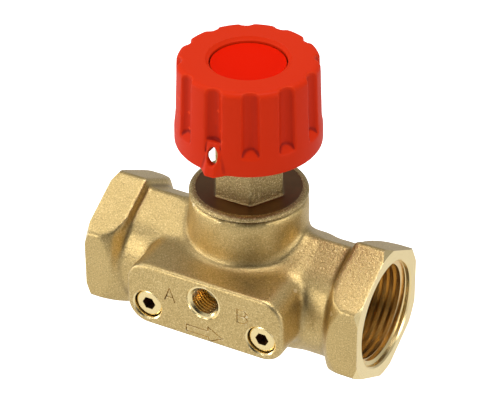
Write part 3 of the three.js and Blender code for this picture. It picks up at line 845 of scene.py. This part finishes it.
# a V groove whose ends are half cones
def stroke(start, end):
    a, b = Vector((start[0], 0, start[1])), Vector((end[0], 0, end[1]))
    along = b - a
    bm = bmesh.new()
    bmesh.ops.create_cone(bm, cap_ends=True, segments=8, radius1=0.02, radius2=marks["width"] * 0.75,
                          depth=marks["depth"] * 2)
    turnAll(bm, math.pi / 2, "X")
    ahead = [v for v in bm.verts if v.co.dot(along) > 0]
    behind = [v for v in bm.verts if v not in set(ahead)]
    bmesh.ops.translate(bm, verts=ahead, vec=along / 2)
    bmesh.ops.translate(bm, verts=behind, vec=along / -2)
    moveAll(bm, (a + b) / 2 + Vector((0, body["padFace"], 0)))
    return tidy(bm, 0.00001)


def cutMarks(piece):
    for name in ("letterA", "letterB", "arrow"):
        for line in marks[name]:
            for start, end in zip(line, line[1:]):
                combine(piece, stroke(start, end), [forgedBrass])


# bonnet: flange and hexagon as cast, thread and bore turned

bonnetLow, bonnetHigh = sizeOf("bonnet")
bonnet = {
    "bottom": bonnetLow.z,
    "top": bonnetHigh.z,
    "flangeRadius": bonnetHigh.x,
    "flangeLow": 24.0,
    "flangeTop": 25.5,
    "faceRadius": 12.8,
    "hexFlats": 16.0,
    "threadRadius": 11.7,
    "reliefRadius": 10.4,
    "pitch": 1.0,
    "sealBore": 5.3,
    "threadBore": 4.6,
    "step": 33.0,
    "voxel": 0.27,
}


def makeBonnet():
    flange, low, top = bonnet["flangeRadius"], bonnet["flangeLow"], bonnet["flangeTop"]
    face = bonnet["faceRadius"]
    blank = lathe([(0, low - 0.6), (flange, low - 0.6), (flange, top - 0.75), (flange - 0.28, top - 0.3),
                   (flange - 0.75, top - 0.04), (face + 0.35, top), (face, top - 0.16), (0, top - 0.16)], 128)
    hexTop = bevelled(prism(6, bonnet["hexFlats"], top - 1, bonnet["top"]), 0.45, 3, lengthwise(2))
    addTo(blank, hexTop)
    piece = toObject("bonnetPiece", blank, [castBrass, flangeShadeBrass, spindleBrass])
    remesh(piece, bonnet["voxel"])
    soften(piece, 3)
    # the flat ring under the knob takes the dark brass, painted shade
    for polygon in piece.data.polygons:
        middle = polygon.center
        level = polygon.normal.z > 0.8 and abs(middle.z - top + 0.16) < 0.25
        if level and math.hypot(middle.x, middle.y) < face + 0.1:
            polygon.material_index = 1
    # the chamfer under the flange takes the dark brass too, painted shade in the joint
    turnOut(piece, [(0, low), (flange - 0.7, low), (flange + 0.2, low + 0.5), (20, low + 0.5), (20, low - 2),
                    (0, low - 2)], 128, flangeShadeBrass)
    thread, neck, bottom = bonnet["threadRadius"], bonnet["reliefRadius"], bonnet["bottom"]
    stem = lathe([(0, bottom), (thread - 0.8, bottom), (thread, bottom + 0.8), (thread, 20.8), (neck, 21.2),
                  (neck, low + 0.4), (0, low + 0.4)], 96)
    combine(piece, stem, [spindleBrass], "UNION")
    groove = helixTooth(thread + 0.2, thread - 0.75, 0.42, 0.1, bonnet["pitch"], 6.4, bottom + 0.2, 72)
    combine(piece, groove, [spindleBrass])
    seal, screwed, step, end = bonnet["sealBore"], bonnet["threadBore"], bonnet["step"], bonnet["top"]
    turnOut(piece, [(0, 12), (8, 12), (8, 22), (seal + 0.4, 22), (seal, 22.4), (seal, step), (screwed, step),
                    (screwed, end - 0.5), (screwed + 0.6, end + 0.1), (screwed + 0.6, end + 2), (0, end + 2)],
            64, spindleBrass)
    turnOut(piece, [(9.3, end - 0.6), (11, end - 0.6), (11, end + 1), (7.6, end + 1), (9.3, end - 0.6)], 64,
            spindleBrass)
    sharpen(piece, 40)
    return finishPiece(piece, "valve_body", "forged_brass", "bonnet")


# knob: twelve flutes with ramped feet, a skirt, and a wedge with a hole for a sealing wire

knobLow, knobHigh = sizeOf("knob")
knob = {
    "top": knobHigh.z,
    "bottom": knobLow.z,
    "skirtRadius": knobHigh.y,
    "noseReach": -knobLow.y,
    "gripRadius": 16.95,
    "gripFoot": 17.36,
    "skirtTop": 45.6,
    "wallRadius": 14.3,
    "fluteCount": 12,
    "fluteRadius": 2.4,
    "fluteCentre": 17.85,
    "fluteFoot": 43.3,
    "rampSlope": 1.15,
    "lipRadius": 9.3,
    "hubRadius": 8.0,
    "hubLow": 48.5,
    "topEdge": 1.3,
    "eyeHalf": 1.35, "eyeStretch": 1.65, "eyeRise": 4.8,
    "capDrop": 0.5,
    "voxel": 0.285,
}


def fluteTools():
    tools = bmesh.new()
    tall = knob["top"] + 2 - knob["fluteFoot"]
    for index in range(knob["fluteCount"]):
        bm = bmesh.new()
        bmesh.ops.create_cone(bm, cap_ends=True, segments=48, radius1=knob["fluteRadius"],
                              radius2=knob["fluteRadius"], depth=tall)
        moveAll(bm, (0, -knob["fluteCentre"], knob["fluteFoot"] + tall / 2))
        draft = (knob["gripFoot"] - knob["gripRadius"]) * 0.8
        for v in bm.verts:
            if v.co.z < knob["fluteFoot"] + 1:
                v.co.z += (knob["skirtRadius"] + v.co.y) * knob["rampSlope"]
                v.co.y -= draft
        turnAll(bm, math.tau * index / knob["fluteCount"], "Z")
        addTo(tools, bm)
    return tools


# a blunt wedge that stands furthest out at the foot and runs up into the flute over it
def noseShape():
    bm = bmesh.new()
    low, high, reach = knob["bottom"], knob["skirtTop"] + 1.6, -knob["noseReach"] - 0.1
    foot = [(-3.9, -16.6), (-1.25, reach), (1.25, reach), (3.9, -16.6), (0, -15.2)]
    head = [(-2.5, -16.6), (-1.0, -17.0), (1.0, -17.0), (2.5, -16.6), (0, -15.2)]
    lower = bm.faces.new([bm.verts.new((x, y, low)) for x, y in foot])
    upper = bm.faces.new([bm.verts.new((x, y, high)) for x, y in head])
    bmesh.ops.bridge_loops(bm, edges=list(lower.edges) + list(upper.edges))
    return tidy(bm)


def makeKnob():
    top, bottom, skirt, wall = knob["top"], knob["bottom"], knob["skirtRadius"], knob["wallRadius"]
    hub, hubLow = knob["hubRadius"], knob["hubLow"]
    grip, edge = knob["gripRadius"], knob["topEdge"]
    shoulder = [(grip - edge * (1 - math.sin(a)), top - edge * (1 - math.cos(a)))
                for a in (math.pi / 2 * i / 6 for i in range(6))]
    flare = knob["skirtTop"]
    outside = [(0, top)] + shoulder + rounded(
        [(grip, top - edge), (knob["gripFoot"], flare + 1.5), (skirt - 0.04, flare - 2.5), (skirt, bottom),
         (wall + 1.4, bottom)], 0.8, 4)
    inside = [(wall, bottom + 4), (wall, 56), (wall - 1, 57.2), (hub, 57.2), (hub, hubLow), (0, hubLow)]
    shell = lathe(outside + inside, 180)
    piece = toObject("knobPiece", shell, [redPlastic])
    combine(piece, fluteTools(), [redPlastic])
    combine(piece, noseShape(), [redPlastic], "UNION")
    combine(piece, block((-4.6, -16.7, bottom + 1.2), (2.6, -12, bottom + 4.9)), [redPlastic])
    combine(piece, outOfPad(eyeShape(), 0, 0), [redPlastic])
    remesh(piece, knob["voxel"])
    soften(piece, 2)
    lip = knob["lipRadius"]
    turnOut(piece, [(0, 54.6), (6.5, 54.6), (6.5, 58.5), (lip, 58.5), (lip, top - 0.75),
                    (lip + 0.75, top - 0.08), (lip + 0.95, top + 0.3), (lip + 0.95, top + 1), (0, top + 1)],
            128, redPlastic)
    turnOut(piece, [(0, 47), (6.3, 47), (6.3, 53), (2.4, 53), (2.4, 55), (0, 55)], 64, redPlastic)
    sharpen(piece, 35)
    return finishPiece(piece, "spindle", "knob_plastic", "knob")


# oval prism for the wire's hole, lying along the way out from the axis
def eyeShape():
    bm = bmesh.new()
    bmesh.ops.create_circle(bm, cap_ends=True, segments=40, radius=knob["eyeHalf"])
    for v in bm.verts:
        v.co.y = v.co.y * knob["eyeStretch"] + knob["bottom"] + knob["eyeRise"]
    thicken(bm, (0, 0, 10))
    moveAll(bm, (0, 0, 12))
    return tidy(bm)


def makeCap():
    low, high = sizeOf("knob_cap")
    radius, top = high.x, high.z - knob["capDrop"]
    under = top - 0.9
    profile = [(0, under), (5.3, under), (5.3, low.z), (6.2, low.z), (6.2, under)]
    rim = rounded([(6.2, under), (radius, under), (radius, top - 0.02), (radius - 0.55, top),
                   (radius - 1.1, top - 0.06), (0, top - 0.06)], 0.25, 3)
    piece = toObject("capPiece", lathe(profile + rim[1:], 128), [capPlastic])
    sharpen(piece, 40)
    return finishPiece(piece, "spindle", "cap_plastic", "knob_cap")


# plug screws

plug = {
    "seat": 15.9,
    "stemTop": 18.8,
    "stemRadius": 2.5,
    "headRadius": 3.5,
    "ringAt": 20.3,
    "grooveHalf": 0.95,
    "grooveRadius": 2.35,
    "socketFlats": 3.1,
    "socketDeep": 2.6,
}


def makePlug(name, node, x):
    low, high = sizeOf(node)
    face, head, seat, stemTop = -low.y, plug["headRadius"], plug["seat"], plug["stemTop"]
    z = (low.z + high.z) / 2
    below, above = plug["ringAt"] - plug["grooveHalf"], plug["ringAt"] + plug["grooveHalf"]
    profile = [(0, seat), (0.8, seat), (2.3, seat + 1.5), (plug["stemRadius"], stemTop), (head, stemTop),
               (head, below), (plug["grooveRadius"], below), (plug["grooveRadius"], above), (head, above),
               (head, face - 0.45), (head - 0.12, face - 0.18), (head - 0.45, face), (0, face)]
    piece = toObject(name, outOfPad(lathe(rounded(profile, 0.08, 2), 72), x, z), [padBrass, socketShadeBrass])
    # the walls of the hex socket take the dark brass, painted shade
    socket = prism(6, plug["socketFlats"], face - plug["socketDeep"], face + 1)
    combine(piece, outOfPad(socket, x, z), [socketShadeBrass])
    sharpen(piece, 30)
    return finishPiece(piece, node.replace("_screw", ""), "turned_brass", node)


# seals and washers, from the boxes of the nodes they stand for

def ringPiece(name, node, body, slotName, material, axis="Z"):
    low, high = sizeOf(node)
    middle = (low + high) / 2
    section = (high.z - low.z) / 2 if axis == "Z" else (high.y - low.y) / 2
    mean = (high.x - low.x) / 2 - section
    angles = [math.tau * i / 20 for i in range(20)]
    circle = [(mean + section * math.cos(a), section * math.sin(a)) for a in angles]
    bm = lathe(circle + circle[:1], 72)
    if axis == "Y":
        outOfPad(bm, 0, 0)
    moveAll(bm, middle)
    return finishPiece(toObject(name, bm, [material]), body, slotName, node)


def washerPiece(name, node, inner, edge, body, slotName, material):
    low, high = sizeOf(node)
    outer, floor, top = high.x, low.z, high.z
    middle = (floor + top) / 2
    corners = [(outer, middle), (outer, top), (inner, top), (inner, floor), (outer, floor), (outer, middle)]
    bm = lathe(rounded(corners, edge, 3), 96)
    piece = toObject(name, bm, [material])
    sharpen(piece, 50)
    return finishPiece(piece, body, slotName, node)


# spindle with collar, seal grooves, thread and square, and the cone that a clip holds on its tip

spindle = {
    "tip": 3.0,
    "clipLow": 15.7, "clipHigh": 16.9, "clipRadius": 2.35,
    "collar": 7.0, "collarLow": 19.3, "collarTop": 20.8,
    "seal": 5.0,
    "groove": 3.55, "grooveHalf": 0.95,
    "thread": 4.3, "threadLow": 32.7, "threadTop": 44.6, "pitch": 2.0, "turns": 4.6,
    "square": 6.0,
}


def makeCone():
    low, high = sizeOf("valve_cone")
    rim, foot, top = high.x, low.z, high.z
    outside = rounded([(0, foot + 1.2), (9.2, foot + 1.2), (9.2, foot), (rim, foot), (rim, foot + 2.6),
                       (rim - 0.8, foot + 3.4), (6.2, foot + 3.4), (6.2, top - 0.5), (5.7, top), (0, top)],
                      0.2, 2)
    piece = toObject("conePiece", lathe(outside, 96), [spindleBrass])
    slotLow, slotHigh = spindle["clipLow"], spindle["clipHigh"]
    turnOut(piece, [(0, 8), (1.8, 8), (1.8, 14), (3.3, 14), (3.3, slotLow), (4.6, slotLow), (4.6, slotHigh),
                    (3.3, slotHigh), (3.3, top - 0.4), (3.7, top), (3.7, top + 1), (0, top + 1)], 64,
            spindleBrass)
    sharpen(piece)
    return finishPiece(piece, "cone", "turned_brass", "valve_cone")


def makeThrottle():
    low, high = sizeOf("throttle_cone")
    foot, top = low.z, high.z
    shoulder = top - 2.0
    curve = [(4.8 + 2.25 * math.sin(a), foot + (shoulder - foot) * (1 - math.cos(a)))
             for a in (math.pi / 2 * i / 8 for i in range(9))]
    profile = [(1.8, foot)] + curve + [(3.1, shoulder), (3.1, top), (1.8, top), (1.8, foot)]
    piece = toObject("throttlePiece", lathe(profile, 96), [spindleBrass])
    sharpen(piece)
    return finishPiece(piece, "cone", "turned_brass", "throttle_cone")


def makeClip():
    low, high = sizeOf("cone_clip")
    section = [(3.5, high.z), (4.3, high.z), (4.3, low.z), (2.65, low.z), (2.65, high.z), (3.5, high.z)]
    piece = toObject("clipPiece", lathe(rounded(section, 0.12, 2), 72), [platedSteel])
    combine(piece, block((-1.2, 1, low.z - 1), (1.2, 7, high.z + 1)), [platedSteel])
    sharpen(piece)
    return finishPiece(piece, "cone", "plated_steel", "cone_clip")


def screwPiece(name, node, profile, socket, thread, body):
    piece = toObject(name, lathe(rounded(profile, 0.15, 2), 64), [platedSteel])
    for tool in socket:
        combine(piece, tool, [platedSteel])
    combine(piece, thread, [platedSteel])
    sharpen(piece)
    return finishPiece(piece, body, "plated_steel", node)


def makeConeScrew():
    low, high = sizeOf("cone_screw")
    foot, top, head = low.z, high.z, high.x
    profile = [(0, foot), (head - 0.4, foot), (head, foot + 0.4), (head, foot + 2.2), (1.5, foot + 2.2),
               (1.5, top - 0.3), (1.2, top), (0, top)]
    thread = helixTooth(1.62, 1.2, 0.2, 0.05, 0.5, 6.0, top - 3.2, 32)
    socket = [prism(6, 2.5, foot - 1, foot + 1.4)]
    return screwPiece("coneScrewPiece", "cone_screw", profile, socket, thread, "cone")


def makeKnobScrew():
    low, high = sizeOf("knob_screw")
    foot, top, head = low.z, high.z, high.x
    under = top - 2.2
    profile = [(0, foot), (1.55, foot), (1.9, foot + 0.4), (1.9, under), (head, under), (head, top - 0.9),
               (2.9, top - 0.2), (1.6, top), (0, top)]
    arms = [(2.1, 0.4), (0.4, 2.1)]
    cross = [block((-long, -wide, top - 1.4), (long, wide, top + 1)) for long, wide in arms]
    thread = helixTooth(2.05, 1.5, 0.28, 0.06, 0.7, 8.0, foot + 0.4, 40)
    return screwPiece("knobScrewPiece", "knob_screw", profile, cross, thread, "spindle")


def makeSpindle():
    low, high = sizeOf("spindle")
    foot, top = low.z, high.z
    tip, seal, groove, thread = spindle["tip"], spindle["seal"], spindle["groove"], spindle["thread"]
    slotLow, slotHigh, slot = spindle["clipLow"], spindle["clipHigh"], spindle["clipRadius"]
    collar, collarLow, collarTop = spindle["collar"], spindle["collarLow"], spindle["collarTop"]
    profile = [(0, foot), (tip, foot), (tip, slotLow), (slot, slotLow), (slot, slotHigh), (tip, slotHigh),
               (tip, collarLow), (collar, collarLow), (collar, collarTop), (seal, collarTop)]
    for place in ("spindle_o_ring_lower", "spindle_o_ring_upper"):
        ringLow, ringHigh = sizeOf(place)
        middle = (ringLow.z + ringHigh.z) / 2
        below, above = middle - spindle["grooveHalf"], middle + spindle["grooveHalf"]
        profile += [(seal, below), (groove, below), (groove, above), (seal, above)]
    threadLow, threadTop = spindle["threadLow"], spindle["threadTop"]
    profile += [(seal, threadLow), (thread, threadLow), (thread, threadTop - 0.5), (thread - 0.5, threadTop),
                (0, threadTop)]
    piece = toObject("spindlePiece", lathe(rounded(profile, 0.12, 2), 96), [spindleBrass])
    square = bevelled(prism(4, spindle["square"], threadTop - 0.6, top), 0.9, 3, lengthwise(2))
    combine(piece, square, [spindleBrass], "UNION")
    tooth = helixTooth(thread + 0.15, thread - 0.9, 0.62, 0.36, spindle["pitch"], spindle["turns"],
                       threadLow + 1.2, 72)
    combine(piece, tooth, [spindleBrass])
    turnOut(piece, [(0, 45.4), (1.9, 45.4), (1.9, top - 0.3), (2.3, top), (2.3, top + 1), (0, top + 1)], 48,
            spindleBrass)
    sharpen(piece)
    return finishPiece(piece, "spindle", "turned_brass", "spindle")


# serrated bush: teeth round the outside hold it in the plastic
def makeInsert():
    low, high = sizeOf("knob_insert")
    teeth = 36
    bm = bmesh.new()
    bmesh.ops.create_circle(bm, cap_ends=True, segments=teeth * 2, radius=high.x)
    for index, v in enumerate(bm.verts):
        if index % 2:
            v.co *= 0.955
    moveAll(bm, (0, 0, low.z))
    thicken(bm, (0, 0, high.z - low.z))
    piece = toObject("insertPiece", tidy(bm), [spindleBrass])
    combine(piece, prism(4, spindle["square"] + 0.6, low.z - 1, high.z + 1), [spindleBrass])
    sharpen(piece, 20)
    return finishPiece(piece, "spindle", "turned_brass", "knob_insert")


print("stage: camera and lights")
addCamera()
addStage()
addCard()
addLights()

print("stage: body")
valveBody = makeBody()
cutPorts(valveBody)
cutChamber(valveBody)
cutPassages(valveBody)
cutPad(valveBody)
cutMarks(valveBody)
sharpen(valveBody)
finishPiece(valveBody, "valve_body", "forged_brass", "valve_body")
makeBonnet()
ringPiece("bonnetSeal", "bonnet_o_ring", "valve_body", "seal_rubber", sealRubber)

print("stage: knob")
makeKnob()
makeCap()
makeInsert()
makeKnobScrew()
washerPiece("knobWasher", "knob_screw_washer", 2.3, 0.12, "spindle", "plated_steel", platedSteel)

print("stage: plugs")
for side, x in (("a", -body["plugX"]), ("b", body["plugX"])):
    makePlug("plugPiece" + side.upper(), "plug_" + side + "_screw", x)
    stem = "plug_" + side
    ringPiece("plugSeal" + side.upper(), stem + "_o_ring", stem + "_ring", "seal_rubber", sealRubber, "Y")

print("stage: spindle and cone")
makeSpindle()
for place in ("lower", "upper"):
    node = "spindle_o_ring_" + place
    ringPiece("spindleSeal" + place.title(), node, "spindle", "seal_rubber", sealRubber)
washerPiece("backSeat", "back_seat_washer", 5.2, 0.15, "spindle", "slip_plastic", slipPlastic)
makeCone()
washerPiece("seatWasher", "seat_washer", 3.4, 0.3, "cone", "seal_rubber", sealRubber)
makeThrottle()
makeClip()
makeConeScrew()
